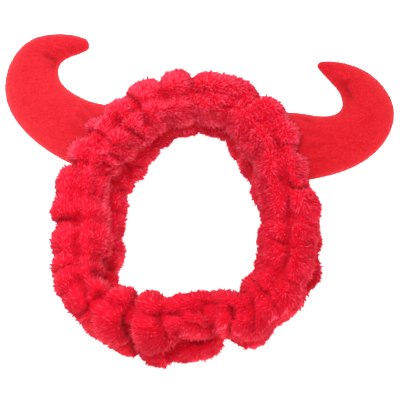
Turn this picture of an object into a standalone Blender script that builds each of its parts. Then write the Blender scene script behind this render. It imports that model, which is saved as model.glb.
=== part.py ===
"""A plush devil horns headband, lying flat as it does when it is off the head.

A tube of deep-pile fleece is gathered round an elastic and closed in a ring, and two
stuffed velour horns are sewn to its outer side. The ring's axis is upright, the horns
lie on its +Y side, and the origin is on the table under the middle of the whole piece.
Units are metres, +Z up."""

import math
from collections import namedtuple

import bmesh
import bpy
from mathutils import Vector

# The ring
LOOP_RADIUS = 0.0725  # mean radius of the band's mid-line, with the elastic slack
BAND_THICKNESS = 0.0375  # across the gathered tube, from the head side to the outer side
BAND_HEIGHT = 0.058  # along the ring's axis, from edge to edge
EDGE_SPLAY = 0.0140  # how far the lower edge may stand out past the upper one
RIM_SETBACK = 0.0060  # how far the upper row of puffs may stand back from the lower row
RIM_FOOT = 0.26  # share of half the height below the middle where it starts to go back
RIM_RISE = 0.45  # share of half the height over which it goes back
FOLD_DEPTH = 0.0075  # how far the deepest gather pulls the fleece in
TOP_TUCK_DEPTH = 0.0045  # lengthwise tuck along the upper edge
SIDE_TUCK_DEPTH = 0.0062  # lengthwise tucks along the head side and the outer side
SETTLE_DEPTH = 0.0030  # how far the band's own weight flattens it on the table
BAND_ROUNDNESS = 0.86  # 1 is a round section, less is squarer
GATHER_REACH = 0.38  # share of a puff's length over which its folds fall away
TUCK_REACH = 22.0  # degrees round the section over which a tuck falls away
VALLEY_POWER = 1.8  # above 1, the bottom of a fold or tuck is sharper than its shoulders

# The horns
LEFT_HORN_LENGTH = 0.1321  # along the horn's middle, from its seat to its tip
RIGHT_HORN_LENGTH = 0.1126
HORN_WIDTH = 0.047  # across the flat of the horn at its base
HORN_THICKNESS = 0.028  # through the stuffing where it is fullest
HORN_PLUMPNESS = 1.15  # 1 is a round section, more is leaner towards the edge seams
LEFT_SEAT_ANGLE = 132.7  # degrees round the ring from +X
RIGHT_SEAT_ANGLE = 37.3
LEFT_HEADING = 151.9  # degrees from +X in which the horn leaves the band
RIGHT_HEADING = 3.9
SEAT_HEIGHT = 0.027  # middle of the horns' seats above the table
SEAT_DEPTH = 0.0075  # how deep the horns' ends sit in the gathered fleece
HORN_DROOP = 6.0  # degrees that the horns sink towards the table
SEWN_GAP = 0.0003  # between a horn and the fleece that it is sewn into

# How finely the soft forms are divided
PUFF_SHARES = (0.0, 0.08, 0.22, 0.40, 0.60, 0.78, 0.92)  # along a puff, closer at its folds
TUCK_SHARES = (0.0, 0.09, 0.24, 0.41, 0.59, 0.76, 0.91)  # from one tuck to the next
HORN_STATIONS = 20
HORN_STRIPS = 9  # across each panel of a horn
SEAT_STEPS = 12  # of sliding a horn's first cut on to its seat, each closer than the last
BEARING_STEP = 0.5  # degrees either side over which the ring's direction is taken

QUARTER = 90.0
FULL_TURN = 360.0

# The ring seen from above. radius, thick and splay are shares of LOOP_RADIUS,
# BAND_THICKNESS and EDGE_SPLAY. A splay above 0 has the lower edge further out. head and
# outer are how far the upper row stands back on those sides, as shares of RIM_SETBACK.
Bend = namedtuple("Bend", "angle radius thick splay head outer")
LOOP = (
    Bend(0, 0.898, 1.01, -0.30, 0.20, 0.00),
    Bend(14, 0.869, 0.96, -0.45, 0.20, 0.00),
    Bend(28, 0.890, 0.98, -0.65, 0.60, 0.00),
    Bend(45, 0.977, 1.02, -1.10, 0.00, 0.00),
    Bend(62, 1.085, 0.94, -0.40, 0.00, 0.00),
    Bend(76, 1.109, 0.98, 0.30, 0.00, 0.00),
    Bend(90, 1.122, 1.13, 0.70, 0.35, 0.00),
    Bend(105, 1.100, 1.11, 0.60, 0.30, 0.00),
    Bend(120, 1.029, 1.08, 0.00, 0.00, 0.00),
    Bend(135, 0.968, 1.15, -0.10, 0.60, 0.00),
    Bend(150, 0.956, 0.99, -0.50, 0.50, 0.00),
    Bend(164, 0.932, 1.02, -0.50, 0.45, 0.00),
    Bend(178, 0.919, 1.09, -0.40, 0.10, 0.00),
    Bend(196, 0.939, 1.09, -0.10, 0.30, 0.00),
    Bend(211, 1.054, 1.02, 0.00, 0.55, 0.00),
    Bend(221, 1.071, 1.01, 0.00, 1.10, 0.00),
    Bend(231, 1.058, 1.04, 0.05, 0.60, 0.00),
    Bend(242, 1.020, 1.07, 0.20, 0.00, 0.00),
    Bend(254, 1.014, 1.07, 0.33, 0.00, 0.35),
    Bend(262, 1.010, 1.04, 0.40, 0.00, 0.50),
    Bend(270, 0.977, 0.99, 0.30, 0.00, 1.15),
    Bend(284, 0.936, 0.90, 0.00, 0.00, 0.10),
    Bend(299, 1.047, 0.88, -0.40, 0.00, 0.00),
    Bend(318, 1.029, 1.02, -0.65, 0.00, 0.15),
    Bend(332, 0.985, 1.06, -0.50, 0.00, 0.45),
    Bend(346, 0.921, 1.09, -0.40, 0.00, 0.15),
)

# The gathers, each named by its angle on the outer side. outer, inner and under are the
# depths on the upper outer, upper inner and lower rows of puffs, as shares of FOLD_DEPTH.
# slant is how many degrees further round the fold meets the head side, drift the same
# for the lower edge, and tuck is the depth of the lengthwise tucks there.
Fold = namedtuple("Fold", "angle outer inner under slant drift tuck")
FOLDS = (
    Fold(11.4, 0.50, 0.25, 0.30, 2.5, 3.0, 1.00),
    Fold(28.3, 0.40, 0.30, 0.30, 6.0, -1.0, 0.80),
    Fold(44.2, 0.45, 0.35, 0.30, 4.5, 1.0, 0.90),
    Fold(58.8, 1.10, 0.40, 0.35, 8.0, -2.0, 1.00),
    Fold(87.5, 0.80, 0.30, 0.30, -3.0, 2.0, 0.75),
    Fold(99.3, 0.25, 0.30, 0.30, 2.0, 1.5, 0.95),
    Fold(113.3, 0.40, 0.40, 0.35, 2.0, 2.0, 1.00),
    Fold(124.8, 0.80, 0.40, 0.30, 1.0, 0.5, 1.00),
    Fold(138.8, 0.60, 0.40, 0.30, 1.5, 0.0, 1.00),
    Fold(153.0, 0.75, 0.40, 0.35, -1.5, 1.0, 0.85),
    Fold(170.1, 0.20, 0.30, 0.35, 1.5, -3.0, 0.90),
    Fold(183.0, 0.90, 0.30, 0.30, 3.0, 1.0, 0.85),
    Fold(202.0, 0.40, 0.35, 0.35, 2.0, -1.0, 0.80),
    Fold(215.5, 0.30, 0.30, 0.35, 1.0, 0.5, 0.95),
    Fold(229.5, 0.60, 0.40, 0.40, -1.0, 1.0, 0.95),
    Fold(247.2, 0.95, 0.45, 0.50, -5.0, 2.0, 0.90),
    Fold(262.5, 0.50, 0.25, 0.80, -3.5, -1.5, 0.95),
    Fold(287.8, 1.00, 0.40, 1.00, -3.5, 1.0, 1.00),
    Fold(305.3, 0.40, 0.60, 0.35, -6.0, 3.0, 0.85),
    Fold(326.4, 0.35, 0.35, 0.30, -7.0, -2.0, 0.75),
    Fold(339.2, 0.40, 0.30, 0.30, -5.0, 1.0, 0.90),
    Fold(351.9, 0.60, 0.40, 0.40, -3.0, 0.5, 1.00),
)

# A horn, cut across from its seat to its tip. along is a share of its length, turn and
# face are the degrees by which its middle line and the cut have turned inwards, and
# width and thick are shares of HORN_WIDTH and HORN_THICKNESS.
Cut = namedtuple("Cut", "along turn face width thick")
LEFT_HORN = (
    Cut(0.00, -1, 2, 1.02, 0.86),
    Cut(0.10, -1, 8, 0.99, 0.94),
    Cut(0.20, 6, 20, 0.96, 1.00),
    Cut(0.30, 14, 32, 0.95, 1.00),
    Cut(0.40, 24, 44, 0.94, 0.98),
    Cut(0.50, 41, 58, 0.91, 0.94),
    Cut(0.60, 62, 71, 0.83, 0.88),
    Cut(0.70, 93, 84, 0.73, 0.80),
    Cut(0.80, 138, 98, 0.64, 0.68),
    Cut(0.90, 155, 112, 0.45, 0.52),
    Cut(0.97, 163, 128, 0.26, 0.34),
    Cut(1.00, 168, 140, 0.16, 0.22),
)
RIGHT_HORN = (
    Cut(0.00, 3, 4, 1.04, 0.86),
    Cut(0.10, 1, 12, 1.01, 0.94),
    Cut(0.20, 4, 23, 0.96, 1.00),
    Cut(0.30, 14, 37, 0.89, 0.98),
    Cut(0.40, 33, 51, 0.80, 0.92),
    Cut(0.50, 62, 66, 0.74, 0.86),
    Cut(0.60, 95, 78, 0.71, 0.78),
    Cut(0.70, 117, 89, 0.63, 0.68),
    Cut(0.80, 135, 101, 0.53, 0.56),
    Cut(0.90, 149, 115, 0.34, 0.42),
    Cut(0.97, 157, 130, 0.17, 0.26),
    Cut(1.00, 160, 140, 0.09, 0.16),
)


def hermite(places, values, at):
    """The height at a place of a smooth curve through uneven points."""
    last = len(places) - 2
    i = min(max(sum(p <= at for p in places) - 1, 0), last)

    def slope(k):
        low, high = max(k - 1, 0), min(k + 1, len(places) - 1)
        return (values[high] - values[low]) / (places[high] - places[low])

    span = places[i + 1] - places[i]
    t = (at - places[i]) / span
    rise = (3 - 2 * t) * t * t
    ease_in = t * (1 - t) ** 2 * span * slope(i)
    ease_out = t * t * (t - 1) * span * slope(i + 1)
    return values[i] + rise * (values[i + 1] - values[i]) + ease_in + ease_out


def read_along(rows, column, at):
    """A column of a horn's table at a share of its length."""
    return hermite([row.along for row in rows], [getattr(row, column) for row in rows], at)


def read_round(column, angle):
    """A column of LOOP at an angle, where the last row meets the first."""
    rows = LOOP[-2:] + LOOP + LOOP[:3]
    turns = (-FULL_TURN,) * 2 + (0.0,) * len(LOOP) + (FULL_TURN,) * 3
    places = [row.angle + turn for row, turn in zip(rows, turns)]
    return hermite(places, [getattr(row, column) for row in rows], angle % FULL_TURN)


def ring_frame(angle):
    """The point of the band's mid-line at an angle, and the way out of the ring there."""

    def point(at):
        a = math.radians(at)
        radius = LOOP_RADIUS * read_round("radius", at)
        return Vector((radius * math.cos(a), radius * math.sin(a), 0.0))

    along = (point(angle + BEARING_STEP) - point(angle - BEARING_STEP)).normalized()
    return point(angle), Vector((along.y, -along.x, 0.0))


def soft_valley(share, half_width):
    """1 in the bottom of a fold, falling to 0 at half_width from it."""
    return max(0.0, 1.0 - abs(share) / half_width) ** VALLEY_POWER


def tuck_depth(around, tuck):
    """The lengthwise tucks' depth round the section: outer side, upper edge, head side."""
    depth = 0.0
    for place, deepest in (
        (0.0, SIDE_TUCK_DEPTH),
        (QUARTER, TOP_TUCK_DEPTH),
        (2 * QUARTER, SIDE_TUCK_DEPTH),
        (FULL_TURN, SIDE_TUCK_DEPTH),
    ):
        depth += deepest * soft_valley(around - place, TUCK_REACH)
    return depth * tuck


def gather_depth(fold, around):
    """How deep a gather is at a place round the section."""
    a = math.radians(around)
    outward, upward = (1 + math.cos(a)) / 2, (1 + math.sin(a)) / 2
    upper = fold.outer * outward + fold.inner * (1 - outward)
    return FOLD_DEPTH * (upper * upward + fold.under * (1 - upward))


def fold_angle(fold, around):
    """The angle round the ring at which a gather crosses a place round the section."""
    a = math.radians(around)
    return fold.angle + fold.slant * (1 - math.cos(a)) / 2 + fold.drift * (1 - math.sin(a)) / 2


def rim_setback(angle, a):
    """How far the upper row of puffs stands back from the lower one, at an angle round the
    ring and a radians round the section."""
    rise = min(max((math.sin(a) + RIM_FOOT) / RIM_RISE, 0.0), 1.0)
    column = "outer" if math.cos(a) > 0 else "head"
    return RIM_SETBACK * read_round(column, angle) * rise * rise * (3 - 2 * rise)


def band_point(fold, following, share, around):
    """A point of the band's surface, between two gathers and at a place round the section."""
    first, last = fold_angle(fold, around), fold_angle(following, around)
    last += FULL_TURN * (last < first)
    angle = first + share * (last - first)
    middle, out = ring_frame(angle)
    a = math.radians(around)
    across = math.copysign(abs(math.cos(a)) ** BAND_ROUNDNESS, math.cos(a))
    upright = math.copysign(abs(math.sin(a)) ** BAND_ROUNDNESS, math.sin(a))
    across *= BAND_THICKNESS / 2 * read_round("thick", angle)
    across -= math.cos(a) * rim_setback(angle, a)
    upright *= BAND_HEIGHT / 2
    depth = gather_depth(fold, around) * soft_valley(share, GATHER_REACH)
    depth += gather_depth(following, around) * soft_valley(1 - share, GATHER_REACH)
    depth += tuck_depth(around, fold.tuck + (following.tuck - fold.tuck) * share)
    kept = 1 - depth / math.hypot(across, upright)
    height = BAND_HEIGHT / 2 - SETTLE_DEPTH + upright * kept
    splay = EDGE_SPLAY * read_round("splay", angle) * (0.5 - height / BAND_HEIGHT)
    place = middle + out * (across * kept + splay)
    return Vector((place.x, place.y, max(height, 0.0)))


def new_object(name, mesh, material):
    """A smooth-shaded object of that mesh, linked to the scene."""
    mesh.shade_smooth()
    mesh.materials.append(material)
    made = bpy.data.objects.new(name, mesh)
    bpy.context.scene.collection.objects.link(made)
    return made


def mesh_from(name, points, faces):
    """A mesh of those points and faces, with its normals pointing out."""
    shape = bmesh.new()
    corners = [shape.verts.new(point) for point in points]
    for face in faces:
        shape.faces.new([corners[i] for i in face])
    bmesh.ops.recalc_face_normals(shape, faces=shape.faces)
    mesh = bpy.data.meshes.new(name)
    shape.to_mesh(mesh)
    shape.free()
    return mesh


def tube_faces(rings, size, closed):
    """Quads between rings of points. closed joins the last ring to the first."""
    faces = []
    for ring in range(rings if closed else rings - 1):
        here, there = ring * size, (ring + 1) % rings * size
        for i in range(size):
            j = (i + 1) % size
            faces.append((here + i, there + i, there + j, here + j))
    return faces


def make_band(material):
    """The gathered tube: rows of puffs between folds, tucked lengthwise, flat underneath."""
    section = [QUARTER * (side + share) for side in range(4) for share in TUCK_SHARES]
    points = []
    for fold, following in zip(FOLDS, FOLDS[1:] + FOLDS[:1]):
        for share in PUFF_SHARES:
            points += [band_point(fold, following, share, around) for around in section]
    faces = tube_faces(len(FOLDS) * len(PUFF_SHARES), len(section), closed=True)
    return new_object("gathered_band", mesh_from("gathered_band", points, faces), material)


def seat_offset(point, depth):
    """How far a point stands out of the seat, which follows the band's outer side."""
    angle = math.degrees(math.atan2(point.y, point.x))
    middle, out = ring_frame(angle)
    outer = BAND_THICKNESS / 2 * read_round("thick", angle)
    return (point - middle).to_2d().dot(out.to_2d()) - (outer - depth)


def slide_to_seat(point, heading, depth):
    """Moves a point of a horn's first cut along the horn until it lies on its seat."""
    for _ in range(SEAT_STEPS):
        point = point - heading * seat_offset(point, depth)
    return point


def horn_points(rows, length, seat_angle, heading, side, grow):
    """Rings of points from the seat to the tip. grow widens the horn all round."""
    middle, out = ring_frame(seat_angle)
    outer = BAND_THICKNESS / 2 * read_round("thick", seat_angle)
    spine = middle + out * (outer - SEAT_DEPTH)
    start = spine.copy()
    away = Vector((math.cos(math.radians(heading)), math.sin(math.radians(heading)), 0.0))
    step = 1 / (HORN_STATIONS - 1)
    rings = []
    for station in range(HORN_STATIONS):
        along = station * step
        if station:
            turn = math.radians(heading + side * read_along(rows, "turn", along - step / 2))
            spine = spine + Vector((math.cos(turn), math.sin(turn), 0.0)) * length * step
        face = math.radians(heading + side * (read_along(rows, "face", along) + QUARTER))
        across = Vector((math.cos(face), math.sin(face), 0.0))
        half_width = HORN_WIDTH / 2 * read_along(rows, "width", along) + grow
        half_thick = HORN_THICKNESS / 2 * read_along(rows, "thick", along)
        ring = []
        for strip in range(2 * HORN_STRIPS):
            a = math.pi * strip / HORN_STRIPS
            lean = math.cos(a)
            rise = abs(math.sin(a)) ** HORN_PLUMPNESS * half_thick
            rise = math.copysign(rise, math.sin(a))
            rise += math.copysign(grow, rise) * (strip % HORN_STRIPS != 0)
            point = spine + across * lean * half_width
            if station == 0:
                point = slide_to_seat(point, away, SEAT_DEPTH + grow)
            sink = math.tan(math.radians(HORN_DROOP)) * (point - start).dot(away)
            ring.append(point + Vector((0.0, 0.0, SEAT_HEIGHT + rise - sink)))
        rings.append(ring)
    return rings


def horn_mesh(name, rings):
    """A closed horn. Its ends are strips from the upper panel straight to the lower one."""
    size = 2 * HORN_STRIPS
    points = [point for ring in rings for point in ring]
    faces = tube_faces(len(rings), size, closed=False)
    for base in (0, (len(rings) - 1) * size):
        for i in range(HORN_STRIPS):
            strip = (i, i + 1, size - i - 1, (size - i) % size)
            faces.append([base + corner for corner in dict.fromkeys(strip)])
    return mesh_from(name, points, faces)


def make_horn(name, shape, material, band):
    """A stuffed horn, and the hollow that it presses into the band's gathers."""
    horn = new_object(name, horn_mesh(name, horn_points(*shape, grow=0.0)), material)
    hollow_name = name + "_hollow"
    hollow = new_object(
        hollow_name, horn_mesh(hollow_name, horn_points(*shape, grow=SEWN_GAP)), material
    )
    hollow.hide_render = True
    hollow.display_type = "WIRE"
    cut = band.modifiers.new(hollow_name, "BOOLEAN")
    cut.operation = "DIFFERENCE"
    cut.object = hollow
    return horn


def make_material(name, colour, roughness):
    """A matt cloth material."""
    material = bpy.data.materials.new(name)
    material.use_nodes = True
    shader = material.node_tree.nodes["Principled BSDF"]
    shader.inputs["Base Color"].default_value = (*colour, 1.0)
    shader.inputs["Roughness"].default_value = roughness
    shader.inputs["Metallic"].default_value = 0.0
    material.diffuse_color = (*colour, 1.0)
    return material


def stand_over_origin(objects):
    """Moves the whole piece so that the middle of its underside is at the origin."""
    bpy.context.view_layer.update()
    graph = bpy.context.evaluated_depsgraph_get()
    corners = []
    for item in objects:
        if not item.hide_render:
            seen = item.evaluated_get(graph)
            corners += [seen.matrix_world @ Vector(corner) for corner in seen.bound_box]
    low = Vector([min(corner[axis] for corner in corners) for axis in range(3)])
    high = Vector([max(corner[axis] for corner in corners) for axis in range(3)])
    whole = bpy.data.objects.new("headband", None)
    bpy.context.scene.collection.objects.link(whole)
    whole.location = -Vector(((low.x + high.x) / 2, (low.y + high.y) / 2, low.z))
    for item in objects:
        item.parent = whole


def main():
    for old in list(bpy.data.objects):
        bpy.data.objects.remove(old)
    fleece = make_material("crimson_fleece", (0.80, 0.012, 0.045), 0.95)
    velour = make_material("scarlet_velour", (0.90, 0.016, 0.028), 0.85)
    band = make_band(fleece)
    left = (LEFT_HORN, LEFT_HORN_LENGTH, LEFT_SEAT_ANGLE, LEFT_HEADING, -1)
    right = (RIGHT_HORN, RIGHT_HORN_LENGTH, RIGHT_SEAT_ANGLE, RIGHT_HEADING, 1)
    make_horn("left_horn", left, velour, band)
    make_horn("right_horn", right, velour, band)
    stand_over_origin(list(bpy.data.objects))


main()
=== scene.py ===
"""The looks of a devil horns headband: deep-pile fleece gathered round an elastic, and two
stuffed velour horns. Units are metres, +Z up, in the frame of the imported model."""

import itertools
import math

import bmesh
import bpy
import numpy as np
from mathutils import Matrix, Vector
from mathutils.bvhtree import BVHTree

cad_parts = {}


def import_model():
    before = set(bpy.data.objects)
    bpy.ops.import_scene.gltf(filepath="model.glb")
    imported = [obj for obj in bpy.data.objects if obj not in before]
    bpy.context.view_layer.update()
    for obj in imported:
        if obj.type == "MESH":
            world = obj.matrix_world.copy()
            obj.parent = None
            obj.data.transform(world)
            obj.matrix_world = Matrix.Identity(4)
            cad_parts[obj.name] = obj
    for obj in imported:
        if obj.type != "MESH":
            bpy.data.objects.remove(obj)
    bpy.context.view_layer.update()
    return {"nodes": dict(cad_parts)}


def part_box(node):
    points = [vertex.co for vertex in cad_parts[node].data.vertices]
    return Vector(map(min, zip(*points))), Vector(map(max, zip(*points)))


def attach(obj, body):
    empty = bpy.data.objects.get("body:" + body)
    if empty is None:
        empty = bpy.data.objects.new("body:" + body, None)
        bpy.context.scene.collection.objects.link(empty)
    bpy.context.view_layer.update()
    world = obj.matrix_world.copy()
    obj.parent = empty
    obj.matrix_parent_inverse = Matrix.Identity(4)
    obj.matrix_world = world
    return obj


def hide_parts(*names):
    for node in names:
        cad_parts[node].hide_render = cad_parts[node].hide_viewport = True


MM = 0.001
SEED = 7

# The fleece's backing, under the pile
BACKING_VOXEL = 1.5 * MM
BACKING_SMOOTHING = 6
BACKING_INSET = 0.9 * MM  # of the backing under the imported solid, for the pile to stand on
BACKING_LUMPS = ((13 * MM, 1.1 * MM, 11), (5.5 * MM, 0.45 * MM, 12))  # size, height, seed
LOWER_LUMPS = 1.6  # how much bigger the lumps are at the table
LOWER_REACH = 30 * MM  # the height from which they are no bigger
CREASE_POWER = 1.3  # above 1, the bottom of a fold is sharper than its shoulders
CREASE_SHOULDERS = 0.25  # how deep the wide hollow on both sides of a fold is, as a share
CREASE_TAPER = 6 * MM  # of each fold towards its ends
CREASE_ENDS = 0.4  # share of its depth that a fold keeps at its very ends
CREASE_STRAY = 0.7 * MM  # of the folds from their lines
STRAY_SIZE = 4 * MM  # of the bends that this makes in them
CREASE_DEPTH = 0.95  # times the depths listed below
SWELL = 0.5 * MM  # by which a full crest stands out more, and a crease in
CREST_ROUNDS = 100  # of smoothing, against which crests and creases are told apart
CREST_HEIGHT = 1.5 * MM  # out of the smoothed form, where a crest is at its fullest
TABLE_GAP = 0.2 * MM  # between the table and all that lies on it

# The pile, in pieces that start at these angles round the loop and are equally wide
PILE_PIECES = {
    "pile_right": 330,
    "pile_crown": 42,
    "pile_left": 114,
    "pile_lower_left": 186,
    "pile_nape": 258,
}
STRANDS = 256_000
PILE_RISE = 1.8 * MM  # how far the tips stand off the backing
PILE_LEAN = 1.6 * MM  # how far the tips lie over along it
TUFT_SIZE = 1.3 * MM  # between the middles of neighbouring tufts
TUFT_CLOSING = 0.62  # share of the way that a tip goes to the middle of its tuft
STRAND_WIDTH = 0.57 * MM
STRAND_STRAY = 0.16 * MM  # of single tips
LAY_SIZE = 16 * MM  # over which the nap changes its direction
RUFFLE_SIZE = 3.5 * MM  # over which it is ruffled
ROWS = 104  # of the knit, round the band's tube
ROW_WAVER = 2.2  # how many rows they stray to either side
ROW_CLOSING = 0.4  # share of the way that a tip goes to the middle of its row
SLOPE_STEP = 0.1  # millimetres, over which the rows that are crossed are counted
LEAST_SLOPE = 0.3 / MM  # rows crossed in a metre, so that no tip goes too far
PINCH_DEPTH = 3 * MM  # of a fold, at which the pile in it is as short as it gets
# Painted shade: folds darken the pile's colour, fully at this depth
FOLD_SHADE_DEPTH = 4 * MM  # of a fold, at which the pile in it is as dark as it gets
HORN_GAP = 0.2 * MM  # between the tips and the horns
HORN_REACH = 12 * MM  # how deep in a horn a tip may be for it to be moved out
MAP_STRIP = 1.5 / 1024  # half the width of a strand on its map
MAP_FOOT = 0.02  # where a strand's root lies up the map
SPIKE_SHADING = 0.5  # how far a strand is shaded as the surface under it is

# How bright the strands are, from 0 to 1, and what changes it: random tone, painted highlights and
# painted shade
BRIGHT = 0.42
BRIGHT_TUFTS = 0.09
# Painted highlight on crests, and painted shade in creases
PAINTED_CREST_LIGHT = 0.14
BRIGHT_PATCHES = 0.06
PATCH_SIZE = 7 * MM
# Painted highlight along the listed rims
PAINTED_RIM_HIGHLIGHT = 0.8
BRIGHT_ROWS = 0.09
# Painted light: the pile is lighter towards the crown and darker towards the nape
PAINTED_LIGHT_TO_CROWN = 2.2  # for each metre towards the side with the horns
BRIGHT_STRANDS = 0.24
# Painted shade, by which folds darken the strands
PAINTED_FOLD_SHADE = 0.3
BRIGHT_RANGE = (0.2, 0.98)  # before the bottoms of folds are made darker
# Painted shade, by which the bottoms of folds darken further
PAINTED_FOLD_BOTTOM_SHADE = 0.18
BRIGHT_LEAST = 0.02

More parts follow.
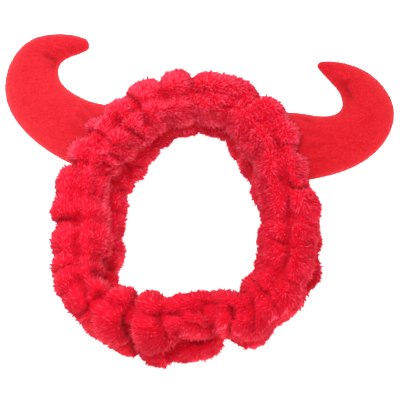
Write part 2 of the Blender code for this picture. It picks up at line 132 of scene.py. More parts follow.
# Folds of the fleece, each with its depth and half its width, then places along it, all in
# millimetres
CREASES = (
    (4, 2.6, ((-36, 53, 37), (-35, 51, 51), (-31, 45, 51), (-30, 43, 50), (-28, 39, 51))),
    (2.4, 2.8, (
        (-20, 68, 30), (-19, 65, 44), (-16, 58, 51),
        (-15, 53, 51), (-13, 49, 50), (-11, 44, 52),
    )),
    (2.2, 2.2, ((-11, 45, 52), (-7, 47, 53), (-2, 49, 52), (3, 51, 48))),
    (2.2, 2, ((3, 69, 27), (3, 66, 41), (5, 57, 49), (3, 51, 48))),
    (2, 2.2, ((-60, 40, 33), (-58, 38, 47), (-54, 33, 53), (-50, 30, 52), (-48, 29, 51))),
    (2.2, 2, (
        (-48, 29, 51), (-44, 30, 49), (-42, 33, 48),
        (-37, 35, 52), (-34, 41, 49), (-30, 43, 50),
    )),
    (2.6, 2.2, (
        (-43, 28, 51), (-36, 27, 50), (-34, 26, 49),
        (-30, 24, 44), (-27, 23, 40), (-26, 22, 28),
    )),
    (3.4, 2.6, ((-61, 31, 38), (-59, 29, 52), (-56, 27, 53), (-53, 24, 51), (-51, 23, 51))),
    (2, 2, (
        (-51, 23, 51), (-46, 16, 52), (-42, 16, 49),
        (-36, 17, 45), (-33, 19, 37), (-31, 17, 25),
    )),
    (3.4, 2.2, ((-78, 12, 30), (-75, 11, 44), (-72, 7, 50), (-69, 4, 51), (-66, 3, 49))),
    (1.6, 2, ((-66, 3, 49), (-60, -2, 52), (-56, -3, 48), (-54, 0, 43))),
    (2.4, 2.2, (
        (-54, 7, 51), (-52, 5, 47), (-48, 5, 42),
        (-45, 8, 35), (-42, 11, 31), (-40, 10, 19),
    )),
    (1.6, 2.2, ((-62, 11, 51), (-56, 8, 53), (-51, 11, 52), (-47, 12, 47), (-45, 10, 40))),
    (1.6, 2.2, ((-29, 39, 50), (-26, 35, 50), (-25, 32, 46), (-27, 28, 47))),
    (1.4, 2, ((-20, 40, 53), (-18, 37, 51), (-16, 35, 47), (-13, 34, 39), (-13, 32, 27))),
    (1.6, 3, ((-61, -8, 52), (-57, -10, 49), (-56, -12, 46), (-59, -16, 48))),
    (1.5, 2.6, ((-66, 2, 50), (-65, -6, 53), (-66, -14, 52), (-66, -23, 53), (-68, -32, 48))),
    (1.6, 2.6, ((-65, -37, 52), (-68, -45, 52), (-67, -54, 49), (-67, -60, 51))),
    (2.6, 2.2, ((11, 55, 52), (13, 52, 52), (13, 47, 53), (17, 43, 53), (20, 41, 53))),
    (2.2, 2.2, ((3, 51, 48), (8, 51, 50), (13, 48, 52))),
    (2, 2.6, ((20, 41, 53), (24, 39, 50), (29, 39, 48), (34, 38, 52))),
    (1.6, 2.4, ((18, 40, 52), (16, 37, 48), (18, 34, 42))),
    (6, 4, (
        (48, 47, 38), (47, 44, 52), (43, 43, 51),
        (40, 40, 51), (36, 36, 53), (32, 38, 51),
    )),
    (2.8, 2, ((38, 35, 53), (43, 32, 53), (46, 28, 52), (49, 27, 50), (53, 21, 53), (55, 17, 53))),
    (2.8, 2, ((55, 17, 53), (57, 14, 51), (60, 9, 51), (62, 6, 52), (64, 1, 53))),
    (1.8, 2.2, ((64, 1, 53), (65, -5, 53), (64, -9, 51), (65, -14, 50), (67, -18, 52))),
    (2.6, 2.2, ((55, 18, 52), (59, 20, 53), (64, 22, 53), (67, 26, 48), (70, 28, 34))),
    (2.4, 2, ((60, 8, 50), (65, 10, 51), (68, 11, 49), (72, 14, 41), (74, 15, 27))),
    (2.2, 2, ((65, 1, 53), (69, 4, 51), (71, 10, 39), (72, 10, 39), (74, 11, 25))),
    (1.8, 2.6, ((67, -3, 53), (70, -4, 52), (73, -5, 49))),
    (5.4, 3.6, (
        (62, -13, 48), (67, -18, 52), (71, -20, 53),
        (74, -19, 51), (78, -15, 40), (81, -14, 26),
    )),
    (1.6, 3.2, ((55, -21, 52), (61, -21, 53), (66, -21, 52))),
    (2, 2.2, ((66, -21, 51), (65, -27, 51), (65, -35, 49), (66, -40, 49))),
    (1.6, 2.2, ((46, 8, 46), (49, 1, 49), (53, -3, 52))),
    (1.6, 2, ((37, 18, 42), (42, 16, 47), (46, 12, 50))),
    (1.8, 2, (
        (-88, -29, 28), (-85, -29, 42), (-79, -31, 48),
        (-73, -31, 50), (-70, -32, 48), (-65, -37, 52),
    )),
    (1.6, 2.4, ((-65, -37, 52), (-61, -37, 52), (-56, -38, 50), (-54, -41, 47))),
    (1.6, 2.4, ((-60, -46, 53), (-56, -47, 51), (-54, -49, 47))),
    (2.6, 2.2, (
        (-82, -66, 36), (-80, -64, 50), (-75, -63, 53),
        (-71, -61, 53), (-67, -60, 51), (-64, -64, 53),
    )),
    (1, 2.4, ((-62, -61, 53), (-58, -60, 50), (-55, -59, 44), (-53, -57, 37), (-51, -56, 25))),
    (2.2, 2.4, ((-66, -71, 50), (-63, -74, 50), (-60, -79, 52), (-59, -85, 52))),
    (3.2, 3, (
        (-59, -84, 52), (-57, -88, 51), (-59, -91, 50),
        (-63, -93, 47), (-69, -94, 39), (-71, -96, 25),
    )),
    (1.6, 2.6, ((-57, -85, 52), (-53, -83, 50), (-49, -82, 50), (-45, -79, 50))),
    (2.6, 3, ((-29, -75, 27), (-30, -77, 39), (-29, -83, 48), (-31, -88, 48), (-34, -92, 48))),
    (5, 3.2, (
        (-34, -92, 48), (-35, -97, 50), (-36, -102, 47),
        (-36, -106, 40), (-38, -107, 23), (-39, -110, 9),
    )),
    (1.6, 2, ((-8, -84, 38), (-8, -85, 50), (-9, -90, 52), (-12, -93, 51), (-14, -96, 50))),
    (3, 2.2, ((-18, -96, 51), (-14, -96, 50), (-13, -102, 50), (-11, -106, 48), (-10, -110, 40))),
    (2.2, 1.8, ((-14, -96, 50), (-8, -96, 51), (-2, -96, 51), (1, -100, 53), (3, -103, 51))),
    (3.2, 3, ((9, -95, 51), (13, -95, 50), (16, -98, 50), (15, -102, 49))),
    (3, 3, ((3, -102, 52), (7, -103, 50), (12, -104, 46), (16, -103, 43))),
    (2.2, 2.2, ((16, -90, 49), (21, -90, 51), (26, -90, 53), (29, -94, 52))),
    (4.8, 2.8, ((28, -91, 53), (31, -96, 51), (31, -101, 53), (29, -104, 53))),
    (4.8, 2.8, ((29, -103, 53), (28, -106, 50), (27, -109, 42), (24, -106, 19), (25, -109, 5))),
    (2.2, 2.4, (
        (41, -85, 40), (42, -86, 52), (42, -91, 50),
        (43, -97, 50), (43, -103, 50), (42, -107, 43),
    )),
    (3.2, 2.2, ((45, -79, 41), (46, -81, 53), (49, -84, 53), (52, -86, 52), (54, -90, 53))),
    (2.4, 2.2, ((54, -90, 53), (56, -94, 51), (57, -97, 46))),
    (1.8, 2.2, ((57, -85, 53), (59, -89, 53), (61, -92, 49))),
    (2.8, 3.2, (
        (54, -74, 52), (59, -75, 50), (64, -78, 52),
        (68, -80, 50), (72, -79, 41), (75, -81, 27),
    )),
    (3.8, 2.4, (
        (61, -42, 52), (66, -41, 50), (70, -42, 52),
        (74, -42, 52), (79, -43, 47), (82, -43, 33),
    )),
    (2, 2, ((66, -42, 50), (66, -48, 51), (65, -53, 50))),
    (2.8, 2.2, (
        (51, -49, 49), (57, -53, 52), (62, -54, 51), (67, -57, 51),
        (73, -60, 52), (78, -62, 45), (81, -63, 31),
    )),
    (1.8, 2.6, ((65, -56, 49), (64, -63, 51), (62, -69, 51), (60, -74, 50))),
    (1.6, 2.6, ((48, -65, 47), (53, -68, 52), (58, -71, 52))),
    (3.2, 2.2, ((-16, -114, 22), (-13, -112, 22), (-11, -109, 24), (-5, -109, 39))),
    (3, 2.2, ((-5, -109, 39), (-2, -107, 27), (3, -108, 25), (9, -107, 24), (15, -105, 23))),
    (3, 1.6, (
        (28, -109, 40), (34, -110, 40), (40, -105, 23), (46, -102, 22), (51, -97, 23),
        (59, -97, 38), (65, -92, 40), (70, -86, 38), (72, -74, 19), (74, -69, 23),
    )),
    (3.4, 2.2, (
        (-53, -10, 32), (-54, -16, 24), (-51, -29, 35), (-50, -42, 39),
        (-51, -51, 40), (-53, -59, 36), (-55, -63, 25), (-47, -73, 38),
    )),
    (2.2, 1.8, ((-47, -73, 38), (-39, -77, 48), (-34, -74, 39), (-31, -76, 38))),
    (2.6, 1.8, ((-53, -1, 41), (-49, 3, 39), (-45, 8, 39), (-41, 11, 34))),
    (2.4, 1.8, ((-39, 12, 37), (-33, 19, 37), (-27, 23, 40), (-25, 26, 41))),
    (2.4, 2, ((-53, -18, 23), (-50, -17, 18), (-49, -15, 15))),
    (2.4, 2, ((-50, -47, 35), (-50, -44, 23), (-48, -43, 17))),
    (2.4, 2, ((-54, -57, 23), (-51, -56, 18), (-50, -54, 12))),
    (2.4, 2, ((-49, -2, 21), (-46, -1, 15), (-44, 1, 12))),
    (2.4, 2, ((-39, 13, 24), (-35, 13, 20), (-32, 15, 16))),
    (2, 2, ((31, 20, 20), (34, 15, 23), (31, 15, 19))),
    (2, 2, ((37, 3, 17), (35, 5, 13), (34, 7, 10))),
    (3.4, 2.2, ((26, -106, 22), (32, -107, 22), (40, -106, 19), (47, -103, 17))),
    (3.4, 2.2, ((47, -103, 17), (52, -98, 17), (58, -94, 18), (65, -88, 19))),
    (3.4, 2.2, ((65, -88, 19), (70, -81, 15), (72, -75, 15), (75, -70, 20))),
)

# Rims where the pile is painted paler, a painted highlight of how it looks seen from its side: how
# pale, then places along each
PAINTED_HIGHLIGHT_RIMS = (
    (1, (
        (-14, 34, 40), (-8, 35, 39), (-4, 35, 38), (0, 36, 38),
        (9, 35, 38), (14, 34, 38), (16, 33, 38),
    )),
    (0.8, ((18, 34, 36), (19, 35, 21), (26, 32, 23), (30, 25, 38))),
    (0.7, ((38, 13, 41), (38, 11, 36), (40, 8, 33), (46, -2, 43), (47, -9, 44))),
    (0.8, ((-25, 28, 43), (-25, 24, 38), (-32, 20, 37))),
    (0.9, ((-36, 14, 38), (-39, 12, 38), (-42, 10, 37), (-46, 9, 41))),
    (0.9, ((-46, 5, 38), (-51, 2, 34), (-52, -7, 37), (-52, -11, 38), (-53, -22, 42))),
    (0.7, ((-50, -26, 38), (-51, -34, 38), (-51, -44, 44), (-51, -46, 44), (-54, -58, 41))),
    (0.9, ((-54, -62, 45), (-55, -66, 42), (-51, -73, 46), (-47, -76, 44), (-38, -78, 50))),
    (0.8, ((-66, 24, 49), (-69, 20, 51), (-72, 18, 51), (-74, 13, 49))),
    (0.7, ((-50, 43, 50), (-53, 36, 51), (-56, 33, 53), (-58, 30, 53))),
    (0.7, ((64, 33, 45), (67, 25, 50), (70, 20, 47), (71, 14, 44))),
    (0.6, ((72, 4, 47), (74, 1, 45), (75, -5, 43))),
    (0.8, (
        (-39, -108, 32), (-27, -112, 41), (-23, -112, 41), (-16, -112, 40), (-14, -112, 37),
        (-10, -110, 41), (-5, -108, 43), (8, -107, 40), (16, -105, 39), (25, -105, 49),
    )),
    (1, (
        (29, -109, 45), (39, -108, 43), (45, -106, 40), (49, -104, 40), (53, -100, 43),
        (59, -97, 43), (65, -92, 45), (68, -88, 43), (71, -82, 42), (72, -74, 43),
    )),
    (0.5, ((-41, 21, 52), (-37, 21, 48), (-33, 21, 41))),
    (0.5, ((-52, 14, 51), (-44, 14, 48), (-39, 14, 43))),
    (0.5, ((-15, 42, 52), (-5, 43, 53), (4, 43, 50), (14, 42, 53))),
    (0.4, ((-16, 36, 50), (-6, 37, 49), (3, 39, 45), (12, 37, 48))),
)
RIM_WIDTH = 2.2 * MM

# The horns
HORN_VOXEL = 1.35 * MM
HORN_SMOOTHING = 6
ROUNDING = 40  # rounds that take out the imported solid's facets and keep its size
ROUNDING_STEP = 0.5  # share of the way that each point goes to the middle of its neighbours
ROUNDING_RETURN = 0.52  # and then away from it
SEAM_DEPTH = 0.5 * MM
SEAM_WIDTH = 1.6 * MM
NAP_ROOM = 0.25 * MM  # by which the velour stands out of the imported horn
FUZZ_STRANDS = 11_000
FUZZ_RISE = 0.5 * MM
FUZZ_HEIGHTS = (0.5, 1.2)  # least and greatest, times the rise
FUZZ_BRIGHTNESS = (0.3, 0.9)  # least and greatest
FUZZ_LEAN = 0.7 * MM
FUZZ_WIDTH = 0.16 * MM
FUZZ_LAY_SIZE = 11 * MM
FUZZ_RUFFLE = 0.5
PUCKER_SHADE_DEPTH = 1.6 * MM  # at which the painted shade in a pucker is as dark as it gets

# Puckers of the horns, listed as the folds of the fleece are
PUCKERS = (
    (1.7, 2.4, ((-94, 94, 23), (-95, 95, 26), (-99, 97, 29), (-103, 98, 30))),
    (1.1, 2.2, ((-94, 93, 23), (-96, 90, 26), (-98, 89, 28))),
    (0.8, 2.2, ((-85, 100, 24), (-83, 103, 27), (-83, 105, 28))),
    (2, 2.4, ((99, 60, 29), (101, 56, 29), (103, 51, 30), (106, 46, 31))),
    (1.6, 2.2, ((100, 59, 29), (102, 58, 30), (106, 59, 31))),
    (1, 2.2, ((93, 67, 28), (92, 70, 29), (91, 73, 29))),
    (0.8, 2.2, ((-72, 56, 34), (-64, 48, 37), (-58, 41, 38))),
    (0.8, 2.2, ((-75, 49, 38), (-68, 42, 39), (-62, 34, 39))),
    (0.8, 2.2, ((-79, 42, 38), (-73, 35, 39), (-69, 30, 38))),
    (0.8, 2.2, ((71, 34, 35), (76, 31, 37), (81, 29, 37))),
    (0.8, 2.2, ((74, 22, 39), (79, 21, 39), (85, 20, 38))),
    (0.8, 2.2, ((76, 13, 38), (81, 12, 38), (87, 13, 37))),
    (0.8, 2.2, ((77, 4, 35), (82, 4, 34), (87, 5, 34))),
)

# The studio
LOOK_AT = Vector((0.0063, -0.0149, 0.028))
CAMERA_TURN = 25  # degrees round to the right of the nape side
CAMERA_RISE = 67  # degrees above the table
CAMERA_DISTANCE = 0.80
LENS_ANGLE = 18.12  # degrees across the square picture
TABLE_REACH = 2  # metres from the middle to each side
ROOM_LIGHT = 1.2  # strength of the white surroundings
BOX_PLACE = (-0.02, 0.2, 1.28)
BOX_SIZE = 1.0  # metres along each side
BOX_POWER = 13.5  # watts


class Value:
    """An output of a finish's node. Sums on it add their Math nodes."""

    def __init__(self, finish, socket):
        self.finish = finish
        self.socket = socket

    def beside(self, output):
        """Another output of the same node."""
        return Value(self.finish, self.socket.node.outputs[output])

    def maths(self, operation, left, right):
        return self.finish.add("Math", {"operation": operation}, {0: left, 1: right})

    def __add__(self, other):
        return self.maths("ADD", self, other)

    def __mul__(self, other):
        return self.maths("MULTIPLY", self, other)

    def __sub__(self, other):
        return self.maths("SUBTRACT", self, other)


class Finish:
    """A material in the making. Every node comes in through add."""

    def __init__(self, name):
        self.material = bpy.data.materials.new(name)
        self.material.use_nodes = True
        self.tree = self.material.node_tree
        self.tree.nodes.clear()

    def add(self, kind, settings, inputs, output=0):
        """Adds a node with its settings, then the values or links of its sockets."""
        made = self.tree.nodes.new("ShaderNode" + kind)
        for name, value in settings.items():
            if name == "stops":
                self.set_stops(made.color_ramp.elements, value)
            else:
                setattr(made, name, value)
        for name, value in inputs.items():
            if isinstance(value, Value):
                self.tree.links.new(value.socket, made.inputs[name])
            else:
                made.inputs[name].default_value = value
        return Value(self, made.outputs[output]) if made.outputs else None

    @staticmethod
    def set_stops(elements, stops):
        while len(elements) < len(stops):
            elements.new(1.0)
        for element, (place, colour) in zip(elements, stops):
            element.position = place
            element.color = colour

    def noise(self, where, size, detail=2.0):
        """Soft patches of about that size in metres, from 0 to 1."""
        return self.add("TexNoise", {}, {"Vector": where, "Scale": 1 / size, "Detail": detail})

    def mix(self, share, first, second):
        """A colour between two others. The numbers are the node's sockets for colours."""
        return self.add("Mix", {"data_type": "RGBA"}, {0: share, 6: first, 7: second}, 2)

    def surface(self, inputs):
        """Ends the finish in a Principled shader."""
        shader = self.add("BsdfPrincipled", {}, inputs)
        self.add("OutputMaterial", {}, {"Surface": shader})
        return self.material


def pile_finish():
    """The pile's strands. Their map runs across from dull to bright, and up from root to tip.
    Dull strands are deeper in colour, bright ones paler, and the dullest nearly hidden. The
    brightness holds painted highlights and painted shade as well as random tone, and every strand
    is darker towards its root, as painted shade between the tufts."""
    finish = Finish("crimson_pile")
    place = finish.add("UVMap", {"uv_map": "OFBake"}, {})
    bright = finish.add("SeparateXYZ", {}, {"Vector": place}, "X")
    height = bright.beside("Y")
    # Darker towards the root: painted shade between the tufts. Paler towards the tip.
    body = finish.add(
        "ValToRGB",
        {"stops": (
            (0.0, (0.80, 0.001, 0.016, 1)),
            (0.45, (0.89, 0.005, 0.042, 1)),
            (0.85, (0.92, 0.018, 0.070, 1)),
            (1.0, (0.95, 0.048, 0.124, 1)),
        )},
        {"Fac": height},
    )
    # Pale colour of the brightest strands: painted highlight on crests and the listed rims, and
    # pale strands at random
    pale = finish.mix(height, (0.96, 0.035, 0.10, 1), (1.0, 0.21, 0.33, 1))
    # Deep colour of dull strands: painted shade in folds and creases, and dull strands at random
    deep = finish.mix(height, (0.62, 0.001, 0.012, 1), (0.78, 0.004, 0.031, 1))
    colour = finish.mix(bright * 2.6 - 0.8, deep, body)
    colour = finish.mix((bright - 0.68) * 2.4, colour, pale)
    # Nearly hidden colour, reached only at the bottoms of folds: painted shade
    hidden = finish.mix(height, (0.40, 0.0006, 0.006, 1), (0.54, 0.001, 0.013, 1))
    colour = finish.mix(bright * 5.5 - 0.1, hidden, colour)
    return finish.surface({
        "Base Color": colour,
        "Roughness": 0.85,
        "Specular IOR Level": 0.15,
        "Sheen Weight": 0.15,
        "Sheen Roughness": 0.5,
        "Sheen Tint": (1.0, 0.45, 0.5, 1),
    })


def backing_finish():
    """The knitted backing between the tufts, which shows only as dark gaps. It is coloured darker
    than the pile, as painted shade in those gaps.
    """
    finish = Finish("crimson_backing")
    where = finish.add("TexCoord", {}, {}, "Object")
    patches = finish.noise(where, 4 * MM)
    loops = finish.noise(where, 0.7 * MM)
    bump = finish.add("Bump", {}, {"Height": loops, "Strength": 0.6, "Distance": 0.4 * MM})
    return finish.surface({
        # Darker than the pile: painted shade in the gaps between tufts
        "Base Color": finish.mix(patches, (0.60, 0.002, 0.012, 1), (0.72, 0.004, 0.021, 1)),
        "Roughness": 0.95,
        "Specular IOR Level": 0.1,
        "Normal": bump,
    })


def velour_finish():
    """Short-pile velour: a fine mottled nap, brushed a little paler in soft patches and lines,
    less bright towards +X as painted shade, and darker where the puckers press it in, as painted
    shade."""
    finish = Finish("scarlet_velour")
    where = finish.add("TexCoord", {}, {}, "Object")
    brushed = finish.noise(where, 9 * MM, detail=3.0)
    nap = finish.noise(where, 1.2 * MM)
    fine = finish.noise(where, 0.45 * MM)
    aside = finish.add("SeparateXYZ", {}, {"Vector": where})
    turned = {"Vector": where, "Rotation": (0, 0, 0.4), "Scale": (1, 6, 1)}
    lines = finish.noise(finish.add("Mapping", {}, turned), 6 * MM)
    # Painted shade: darker towards +X, the right horn's side, as if less light fell there
    share = brushed * 0.4 + nap * 1.5 + lines * 0.7 - aside * 1.6 - 0.9
    colour = finish.mix(share, (0.42, 0.001, 0.006, 1), (0.58, 0.014, 0.029, 1))
    # Painted shade in the puckers, read from the horn's pressed values
    pressed = finish.add("Attribute", {"attribute_name": "pressed"}, {}, "Fac")
    colour = finish.mix(pressed * 0.45, colour, (0.26, 0.0005, 0.004, 1))
    bump = finish.add(
        "Bump", {}, {"Height": nap * 0.5 + fine, "Strength": 0.35, "Distance": 0.25 * MM}
    )
    return finish.surface({
        "Base Color": colour,
        "Roughness": 0.9,
        "Specular IOR Level": 0.15,
        "Sheen Weight": 0.12,
        "Sheen Roughness": 0.45,
        "Sheen Tint": (1.0, 0.4, 0.42, 1),
        "Normal": bump,
    })


def nap_finish():
    """The nap's fuzz, read from its map as the pile is."""
    finish = Finish("scarlet_nap")
    place = finish.add("UVMap", {"uv_map": "OFBake"}, {})
    bright = finish.add("SeparateXYZ", {}, {"Vector": place})
    colour = finish.mix(bright, (0.40, 0.003, 0.010, 1), (0.62, 0.014, 0.028, 1))
    return finish.surface({
        "Base Color": colour,
        "Roughness": 0.9,
        "Specular IOR Level": 0.15,
        "Sheen Weight": 0.1,
        "Sheen Tint": (1.0, 0.4, 0.42, 1),
    })


def table_finish():
    """A white shooting table, which glows so that the picture's ground stays white."""
    finish = Finish("white_table")
    return finish.surface({
        "Base Color": (0.6, 0.6, 0.6, 1),
        "Roughness": 0.9,
        "Specular IOR Level": 0.1,
        "Emission Color": (1, 1, 1, 1),
        "Emission Strength": 2.5,
    })


def spread(cells, seed):
    """A repeatable number from 0 to 1 for each whole-number place."""
    mixed = (cells * np.array((73856093, 19349663, 83492791))).sum(1) + seed * 40503
    mixed = (mixed ^ (mixed >> 15)) * 2246822519 & 0x7FFFFFFF
    mixed = (mixed ^ (mixed >> 13)) * 3266489917 & 0x7FFFFFFF
    return (mixed ^ (mixed >> 16)) % 65536 / 65535


def soft_noise(points, size, seed):
    """Smooth noise from -1 to 1 whose patches have about that size."""
    low = np.floor(points / size).astype(np.int64)
    part = points / size - low
    part = part * part * (3 - 2 * part)
    total = np.zeros(len(points))
    for corner in itertools.product((0, 1), repeat=3):
        share = np.where(corner, part, 1 - part).prod(1)
        total += share * spread(low + corner, seed)
    return 2 * total - 1


def noise_vectors(points, size, seeds):
    """Smooth noise with three parts for each point."""
    return np.stack([soft_noise(points, size, seed) for seed in seeds], 1)


def nearest_tuft(points, size):
    """The middle of the tuft that each point belongs to, and a number for that tuft."""
    home = np.floor(points / size).astype(np.int64)
    best = np.full(len(points), np.inf)
    middle = np.zeros_like(points)
    number = np.zeros(len(points))
    for step in itertools.product((-1, 0, 1), repeat=3):
        cell = home + step
        nudge = np.stack([spread(cell, seed) for seed in (21, 22, 23)], 1)
        place = (cell + nudge) * size
        apart = np.linalg.norm(place - points, axis=1)
        closer = apart < best
        best[closer] = apart[closer]
        middle[closer] = place[closer]
        number[closer] = spread(cell, 24)[closer]
    return middle, number


def unit(vectors):
    return vectors / np.maximum(np.linalg.norm(vectors, axis=1, keepdims=True), 1e-12)


def flattened(vectors, normals):
    """Each vector without its share along the normal."""
    return vectors - normals * (vectors * normals).sum(1, keepdims=True)


def column(items, name, width, kind=np.float32):
    """A numpy table of one property of a mesh's vertices, edges or triangles."""
    found = np.empty(len(items) * width, kind)
    items.foreach_get(name, found)
    return found.reshape(-1, width)


def places_and_normals(piece):
    vertices = piece.data.vertices
    return column(vertices, "co", 3).astype(float), column(vertices, "normal", 3).astype(float)


def new_piece(name, mesh, finish):
    """A smooth-shaded piece with that mesh and finish."""
    mesh.materials.clear()
    mesh.materials.append(finish)
    mesh.shade_smooth()
    piece = bpy.data.objects.new(name, mesh)
    bpy.context.scene.collection.objects.link(piece)
    return piece


def soft_copy(node, name, voxel, smoothing, finish):
    """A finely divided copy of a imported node, with its facets smoothed away."""
    shape = bmesh.new()
    shape.from_mesh(node.data)
    bmesh.ops.remove_doubles(shape, verts=shape.verts, dist=0.01 * MM)
    mesh = bpy.data.meshes.new(name)
    shape.to_mesh(mesh)
    shape.free()
    piece = new_piece(name, mesh, finish)
    remesh = piece.modifiers.new("even", "REMESH")
    remesh.mode = "VOXEL"
    remesh.voxel_size = voxel
    smooth = piece.modifiers.new("soft", "SMOOTH")
    smooth.iterations = smoothing
    settled = piece.evaluated_get(bpy.context.evaluated_depsgraph_get())
    piece.data = bpy.data.meshes.new_from_object(settled)
    piece.modifiers.clear()
    piece.data.shade_smooth()
    return piece


def move_points(piece, points):
    piece.data.vertices.foreach_set("co", points.astype(np.float32).ravel())
    piece.data.update()


def keep_above_table(points):
    points[:, 2] = np.maximum(points[:, 2], TABLE_GAP)


def distance_to(points, line):
    """How far points are from a line, and from its nearer end."""
    nearest = np.full(len(points), np.inf)
    passed = np.zeros(len(points))
    lengths = np.linalg.norm(line[1:] - line[:-1], axis=1)
    for i, (start, end) in enumerate(zip(line, line[1:])):
        way = end - start
        share = ((points - start) @ way / max(way @ way, 1e-12)).clip(0, 1)
        away = np.linalg.norm(points - start - share[:, None] * way, axis=1)
        passed = np.where(away < nearest, lengths[:i].sum() + share * lengths[i], passed)
        nearest = np.minimum(nearest, away)
    return nearest, np.minimum(passed, lengths.sum() - passed)


def laid_on(piece, lines):
    """Those folds in metres, with each line laid on a piece so that it wanders a little."""
    shape = BVHTree.FromObject(piece, bpy.context.evaluated_depsgraph_get())
    laid = []
    for depth, width, line in lines:
        line = np.array(line) * MM
        steps = np.linspace(0, len(line) - 1, 3 * len(line) - 2)
        fine = np.stack([np.interp(steps, range(len(line)), line[:, i]) for i in range(3)], 1)
        stray = CREASE_STRAY * noise_vectors(fine, STRAY_SIZE, (71, 72, 73))
        places = [shape.find_nearest(place)[0] for place in fine + stray]
        laid.append((depth * MM, width * MM, np.array(places)))
    return laid


def creased(points, folds):
    """How deep the folds press each point in, and the hollow to both sides of them."""
    pressed = np.zeros(len(points))
    hollow = np.zeros(len(points))
    for depth, width, line in folds:
        away, to_end = distance_to(points, line)
        depth = CREASE_DEPTH * depth * (CREASE_ENDS + to_end / CREASE_TAPER).clip(0, 1)
        away /= width
        pressed = np.maximum(pressed, depth * (1 - away).clip(0) ** CREASE_POWER)
        hollow = np.maximum(hollow, depth * np.exp(-(away / 2) ** 2))
    return pressed, hollow


def averaging(piece):
    """A function that gives each point of a piece the mean place of its neighbours."""
    count = len(piece.data.vertices)
    edges = column(piece.data.edges, "vertices", 2, np.int32)
    ends = np.concatenate([edges, edges[:, ::-1]])
    valence = np.bincount(ends[:, 0], minlength=count)[:, None]

    def mean_of_neighbours(points):
        near = [np.bincount(ends[:, 0], points[ends[:, 1], axis], count) for axis in range(3)]
        return np.stack(near, 1) / valence

    return mean_of_neighbours


class Rows:
    """The rows of the knit, which run along the band and waver a little."""

    def __init__(self, points, middle):
        self.middle = middle
        turn, reach = self.turn_and_reach(points)
        self.turns = np.arange(0, 360, 6)
        self.line = []
        for step in self.turns:
            near = np.abs((turn - step + 180) % 360 - 180) < 5
            self.line.append(np.percentile(reach[near], (3, 97)).mean())

    def turn_and_reach(self, points):
        """Where points lie round the loop, in degrees, and how far from its middle."""
        out = points[:, :2] - self.middle[:2]
        return np.degrees(np.arctan2(out[:, 1], out[:, 0])) % 360, np.hypot(out[:, 0], out[:, 1])

    def number(self, points):
        """The row that each point is on, with its share of the way to the next."""
        turn, reach = self.turn_and_reach(points)
        out = reach - np.interp(turn, self.turns, self.line, period=360)
        angle = np.arctan2(points[:, 2] - self.middle[2], out)
        waver = soft_noise(points, 15 * MM, 61) + 0.4 * soft_noise(points, 6 * MM, 62)
        return angle / math.tau * ROWS + ROW_WAVER * waver

    def slope(self, points, way):
        """How many rows are crossed in a metre that way."""
        change = self.number(points + way * SLOPE_STEP * MM) - self.number(points)
        change -= ROWS * np.round(change / ROWS)
        return change[:, None] / (SLOPE_STEP * MM)

    def lie(self, points, normals):
        """The way along each point's row, the way to the row's middle line, and how high the
        row is there: 1 on its ridge, -1 between two rows."""
        row = self.number(points)
        outward = unit((points - self.middle) * (1, 1, 0))
        along = unit(flattened(np.cross(outward, (0, 0, 1.0)), normals))
        across = np.cross(normals, along)
        uphill = along * self.slope(points, along) + across * self.slope(points, across)
        steep = np.linalg.norm(uphill, axis=1, keepdims=True).clip(LEAST_SLOPE)
        lengthwise = np.cross(unit(uphill), normals)
        lengthwise *= np.sign((lengthwise * along).sum(1, keepdims=True))
        aside = uphill * (np.floor(row) + 0.5 - row)[:, None] / steep ** 2
        return lengthwise, aside, -np.cos(math.tau * row)


def crests(piece):
    """How far each point stands out of the piece's general form: 1 on a crest, -1 in a crease."""
    points, normals = places_and_normals(piece)
    mean_of_neighbours = averaging(piece)
    general = points
    for _ in range(CREST_ROUNDS):
        general = (general + mean_of_neighbours(general)) / 2
    return ((points - general) * normals).sum(1).clip(-CREST_HEIGHT, CREST_HEIGHT) / CREST_HEIGHT


def scatter(piece, count, rng, extra):
    """Roots spread evenly over a piece: their places, normals and the columns of extra."""
    mesh = piece.data
    mesh.calc_loop_triangles()
    corners = column(mesh.loop_triangles, "vertices", 3, np.int32)
    area = column(mesh.loop_triangles, "area", 1)[:, 0].astype(float)
    points, normals = places_and_normals(piece)
    reach = np.cumsum(area) / area.sum()
    picked = np.searchsorted(reach, (np.arange(count) + rng.random(count)) / count)
    picked = corners[picked.clip(0, len(corners) - 1)]
    first, second = rng.random((2, count))
    over = first + second > 1
    first[over], second[over] = 1 - first[over], 1 - second[over]
    shares = np.stack([1 - first - second, first, second], 1)[:, :, None]
    return (
        (points[picked] * shares).sum(1),
        unit((normals[picked] * shares).sum(1)),
        (extra[picked] * shares).sum(1).T,
    )


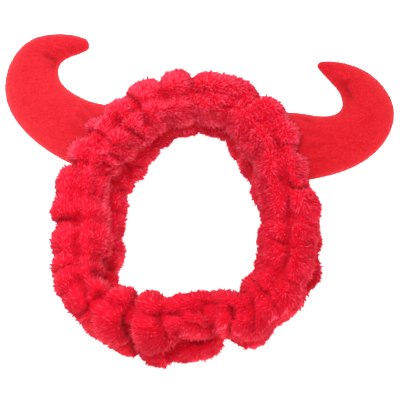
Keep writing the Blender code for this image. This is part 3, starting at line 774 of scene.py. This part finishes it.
def strand_mesh(name, roots, tips, width, normals, bright):
    """Three-sided spikes as one mesh, open at the root. The map holds how bright each is,
    and how high along it."""
    count = len(bright)
    way = unit(tips - roots)
    across = unit(np.cross(normals, way))
    upward = np.cross(way, across)
    points = np.empty((count, 4, 3))
    facing = np.empty((count, 4, 3))
    place = np.empty((count, 4, 2))
    for i, angle in enumerate(np.radians((150, 30, 270))):
        out = math.cos(angle) * across + math.sin(angle) * upward
        points[:, i] = roots + out * width / math.sqrt(3)
        facing[:, i] = unit(out + SPIKE_SHADING * normals)
        place[:, i, 0] = bright + MAP_STRIP * (1 - i)
        place[:, i, 1] = MAP_FOOT
    points[:, 3] = tips
    facing[:, 3] = unit(0.2 * way + normals)
    place[:, 3, 0] = bright
    place[:, 3, 1] = 1 - MAP_FOOT
    faces = np.arange(count)[:, None, None] * 4 + np.array(((1, 0, 3), (2, 1, 3), (0, 2, 3)))
    faces = faces.reshape(-1, 3)
    mesh = bpy.data.meshes.new(name)
    mesh.vertices.add(count * 4)
    mesh.vertices.foreach_set("co", points.astype(np.float32).ravel())
    mesh.loops.add(len(faces) * 3)
    mesh.loops.foreach_set("vertex_index", faces.astype(np.int32).ravel())
    mesh.polygons.add(len(faces))
    mesh.polygons.foreach_set("loop_start", np.arange(0, len(faces) * 3, 3, dtype=np.int32))
    mesh.update(calc_edges=True)
    layer = mesh.uv_layers.new(name="OFBake")
    layer.uv.foreach_set("vector", place.reshape(-1, 2)[faces.ravel()].astype(np.float32).ravel())
    mesh.shade_smooth()
    mesh.normals_split_custom_set_from_vertices(facing.reshape(-1, 3).astype(np.float32))
    return mesh


def clear_of(places, solids, gap):
    """Moves places that are inside a solid, or nearer to it than gap, out to that gap."""
    moved = places.copy()
    for solid in solids:
        low, high = (np.array(corner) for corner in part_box(solid.name))
        near = ((places > low - gap) & (places < high + gap)).all(1)
        shape = BVHTree.FromObject(solid, bpy.context.evaluated_depsgraph_get())
        for i in np.flatnonzero(near):
            place = Vector(moved[i])
            found, normal, _, _ = shape.find_nearest(place, HORN_REACH)
            if found is not None and (place - found).dot(normal) < gap:
                moved[i] = found + normal * gap
    return moved


def make_backing(node):
    """The fleece's backing, with its folds and soft lumps, and where its points are. Also three
    things of each point: how far it stands out of the general form, how deep a fold presses it
    in, and how deep the hollow beside a fold is."""
    backing = soft_copy(node, "fleece_backing", BACKING_VOXEL, BACKING_SMOOTHING, backing_finish())
    points, normals = places_and_normals(backing)
    fold, hollow = creased(points, laid_on(backing, CREASES))
    sunk = BACKING_INSET + fold + CREASE_SHOULDERS * hollow
    low = 1 + LOWER_LUMPS * (1 - points[:, 2] / LOWER_REACH).clip(0)
    for size, height, seed in BACKING_LUMPS:
        sunk -= soft_noise(points, size, seed) * height * low
    points -= normals * sunk[:, None]
    move_points(backing, points)
    crest = crests(backing)
    points += places_and_normals(backing)[1] * crest[:, None] * SWELL
    keep_above_table(points)
    move_points(backing, points)
    return backing, points, np.stack([crest, fold, hollow], 1)


def lay_strands(roots, normals, rows, crest, pinch, rng):
    """Where the strands end, with the height of the row and the number of the tuft that each
    belongs to. Tall tufts, crests and ridges stand higher, and pinched ones lower."""
    lengthwise, aside, ridge = rows.lie(roots, normals)
    tuft, number = nearest_tuft(roots, TUFT_SIZE)
    drift = noise_vectors(tuft, LAY_SIZE, (31, 32, 33))
    ruffle = noise_vectors(tuft, RUFFLE_SIZE, (34, 35, 36))
    lay = unit(flattened(0.5 * drift + 0.3 * ruffle + lengthwise, normals))
    tall = spread((tuft / TUFT_SIZE).astype(np.int64), 25) ** 3
    stand = PILE_RISE * (0.72 + 1.6 * tall + 0.25 * crest + 0.1 * ridge) * (1 - 0.4 * pinch)
    reach = PILE_LEAN * (1.05 - 0.45 * tall) * (1 - 0.6 * pinch)
    closing = flattened(tuft - roots, normals) * TUFT_CLOSING + aside * ROW_CLOSING
    stray = rng.normal(0, STRAND_STRAY, (STRANDS, 3))
    tips = roots + normals * stand[:, None] + lay * reach[:, None] + closing + stray
    keep_above_table(tips)
    return tips, ridge, number


def strand_tone_and_painted_light(roots, tips, crest, fold, ridge, number, rng):
    """How bright each strand is. Crests, ridges and the listed rims are brighter, folds darker.
    The crests' and rims' brightness is painted highlight; the darkness of creases and folds, and
    towards the nape, is painted shade.
    """
    patches = soft_noise(roots, PATCH_SIZE, 41)
    # Painted highlight along the listed rims
    rim_highlight = np.zeros(STRANDS)
    for strength, line in PAINTED_HIGHLIGHT_RIMS:
        away, _ = distance_to(tips, np.array(line) * MM)
        rim_highlight = np.maximum(rim_highlight, strength * (1 - (away / RIM_WIDTH) ** 2).clip(0))
    bright = BRIGHT + BRIGHT_TUFTS * (2 * number - 1) + PAINTED_CREST_LIGHT * crest
    bright += BRIGHT_PATCHES * patches + PAINTED_RIM_HIGHLIGHT * rim_highlight + BRIGHT_ROWS * ridge
    # Painted light towards the crown, and painted shade in the folds
    bright += PAINTED_LIGHT_TO_CROWN * roots[:, 1] - PAINTED_FOLD_SHADE * fold
    bright += rng.normal(0, BRIGHT_STRANDS, STRANDS)
    return (bright.clip(*BRIGHT_RANGE) - PAINTED_FOLD_BOTTOM_SHADE * fold ** 2).clip(BRIGHT_LEAST)


def make_band(node, horns, rng):
    """The fleece's backing, and its pile in several pieces round the loop."""
    backing, points, extra = make_backing(node)
    rows = Rows(points, np.array(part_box(node.name)).mean(0))
    roots, normals, (crest, fold, hollow) = scatter(backing, STRANDS, rng, extra)
    pinch = ((fold + 0.6 * hollow) / PINCH_DEPTH).clip(0, 1)
    tips, ridge, number = lay_strands(roots, normals, rows, crest, pinch, rng)
    tips = clear_of(tips, horns, HORN_GAP)
    # Painted shade in the folds, from 0 to 1
    fold = (fold / FOLD_SHADE_DEPTH).clip(0, 1)
    bright = strand_tone_and_painted_light(roots, tips, crest, fold, ridge, number, rng)
    turn, _ = rows.turn_and_reach(roots)
    finish = pile_finish()
    pieces = [backing]
    for name, start in PILE_PIECES.items():
        held = (turn - start) % 360 < 360 / len(PILE_PIECES)
        mesh = strand_mesh(
            name, roots[held], tips[held], STRAND_WIDTH, normals[held], bright[held]
        )
        pieces.append(new_piece(name, mesh, finish))
    return pieces


def rounded(piece):
    """Where a piece's points are once its facets are smoothed away and its size is kept."""
    points, _ = places_and_normals(piece)
    mean_of_neighbours = averaging(piece)
    for _ in range(ROUNDING):
        points += (mean_of_neighbours(points) - points) * ROUNDING_STEP
        points -= (mean_of_neighbours(points) - points) * ROUNDING_RETURN
    return points


def edge_seam(points, normals):
    """How much of a seam each point has: 1 on the edge between the horn's two panels."""
    centre = points.mean(0)
    across = np.linalg.svd(points - centre, full_matrices=False)[2][2]
    height = (points - centre) @ across
    edge = (1 - (height / SEAM_WIDTH) ** 2).clip(0, 1) ** 2
    return edge * (1 - np.abs(normals @ across).clip(0, 1))


def make_horn(node, finish, fuzz_finish, rng):
    """A stuffed horn with its edge seam and puckers, and the fuzz of its nap."""
    horn = soft_copy(node, node.name + "_velour", HORN_VOXEL, HORN_SMOOTHING, finish)
    points = rounded(horn)
    move_points(horn, points)
    normals = places_and_normals(horn)[1]
    fold, hollow = creased(points, laid_on(horn, PUCKERS))
    sunk = edge_seam(points, normals) * SEAM_DEPTH + fold + CREASE_SHOULDERS * hollow - NAP_ROOM
    points -= normals * sunk[:, None]
    move_points(horn, points)
    # How much painted shade each point gets from the puckers, from 0 to 1
    pressed = ((fold + 0.5 * hollow) / PUCKER_SHADE_DEPTH).clip(0, 1)
    shade = horn.data.attributes.new("pressed", "FLOAT", "POINT")
    shade.data.foreach_set("value", pressed.astype(np.float32))
    roots, normals, (pressed,) = scatter(horn, FUZZ_STRANDS, rng, pressed[:, None])
    drift = noise_vectors(roots, FUZZ_LAY_SIZE, (51, 52, 53))
    ruffle = rng.normal(0, FUZZ_RUFFLE, (FUZZ_STRANDS, 3))
    lay = unit(flattened(drift + ruffle, normals))
    stand = FUZZ_RISE * rng.uniform(*FUZZ_HEIGHTS, FUZZ_STRANDS)[:, None]
    tips = roots + normals * stand + lay * FUZZ_LEAN
    keep_above_table(tips)
    # The puckers' painted shade also darkens the fuzz
    bright = rng.uniform(*FUZZ_BRIGHTNESS, FUZZ_STRANDS) * (1 - 0.6 * pressed)
    name = horn.name + "_nap"
    mesh = strand_mesh(name, roots, tips, FUZZ_WIDTH, normals, bright)
    return [horn, new_piece(name, mesh, fuzz_finish)]


def make_studio():
    """A pale table, white surroundings and a square soft box that faces the headband."""
    reach = TABLE_REACH
    corners = [(-reach, -reach, 0), (reach, -reach, 0), (reach, reach, 0), (-reach, reach, 0)]
    table = bpy.data.meshes.new("table")
    table.from_pydata(corners, [], [(0, 1, 2, 3)])
    table = new_piece("table", table, table_finish())
    world = bpy.data.worlds.new("studio")
    bpy.context.scene.world = world
    world.use_nodes = True
    background = world.node_tree.nodes["Background"]
    background.inputs["Color"].default_value = (1, 1, 1, 1)
    background.inputs["Strength"].default_value = ROOM_LIGHT
    data = bpy.data.lights.new("overhead_box", "AREA")
    data.shape = "SQUARE"
    data.size = BOX_SIZE
    data.energy = BOX_POWER
    light = bpy.data.objects.new("overhead_box", data)
    light.location = BOX_PLACE
    light.rotation_euler = (Vector(BOX_PLACE) - LOOK_AT).to_track_quat("Z", "Y").to_euler()
    bpy.context.scene.collection.objects.link(light)
    bpy.context.scene.view_settings.view_transform = "Standard"


def place_camera():
    """Looks down at the nape side from the right, with the horns' side at the top."""
    turn = math.radians(CAMERA_TURN)
    rise = math.radians(CAMERA_RISE)
    level = math.cos(rise)
    back = Vector((math.sin(turn) * level, -math.cos(turn) * level, math.sin(rise)))
    right = Vector((0, 1, 0)).cross(back).normalized()
    upward = back.cross(right)
    data = bpy.data.cameras.new("camera")
    data.lens_unit = "FOV"
    data.angle = math.radians(LENS_ANGLE)
    camera = bpy.data.objects.new("camera", data)
    axes = Matrix((right, upward, back)).transposed().to_4x4()
    camera.matrix_world = Matrix.Translation(LOOK_AT + back * CAMERA_DISTANCE) @ axes
    bpy.context.scene.collection.objects.link(camera)
    bpy.context.scene.camera = camera


def main():
    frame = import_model()
    nodes = frame["nodes"]
    rng = np.random.default_rng(SEED)
    place_camera()
    make_studio()
    horns = [nodes["left_horn"], nodes["right_horn"]]
    band = make_band(nodes["gathered_band"], horns, rng)
    for piece in band:
        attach(piece, "root")
    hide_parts("gathered_band")
    velour = velour_finish()
    nap = nap_finish()
    for node in horns:
        horn = make_horn(node, velour, nap, rng)
        for piece in horn:
            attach(piece, "root")
        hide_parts(node.name)


main()
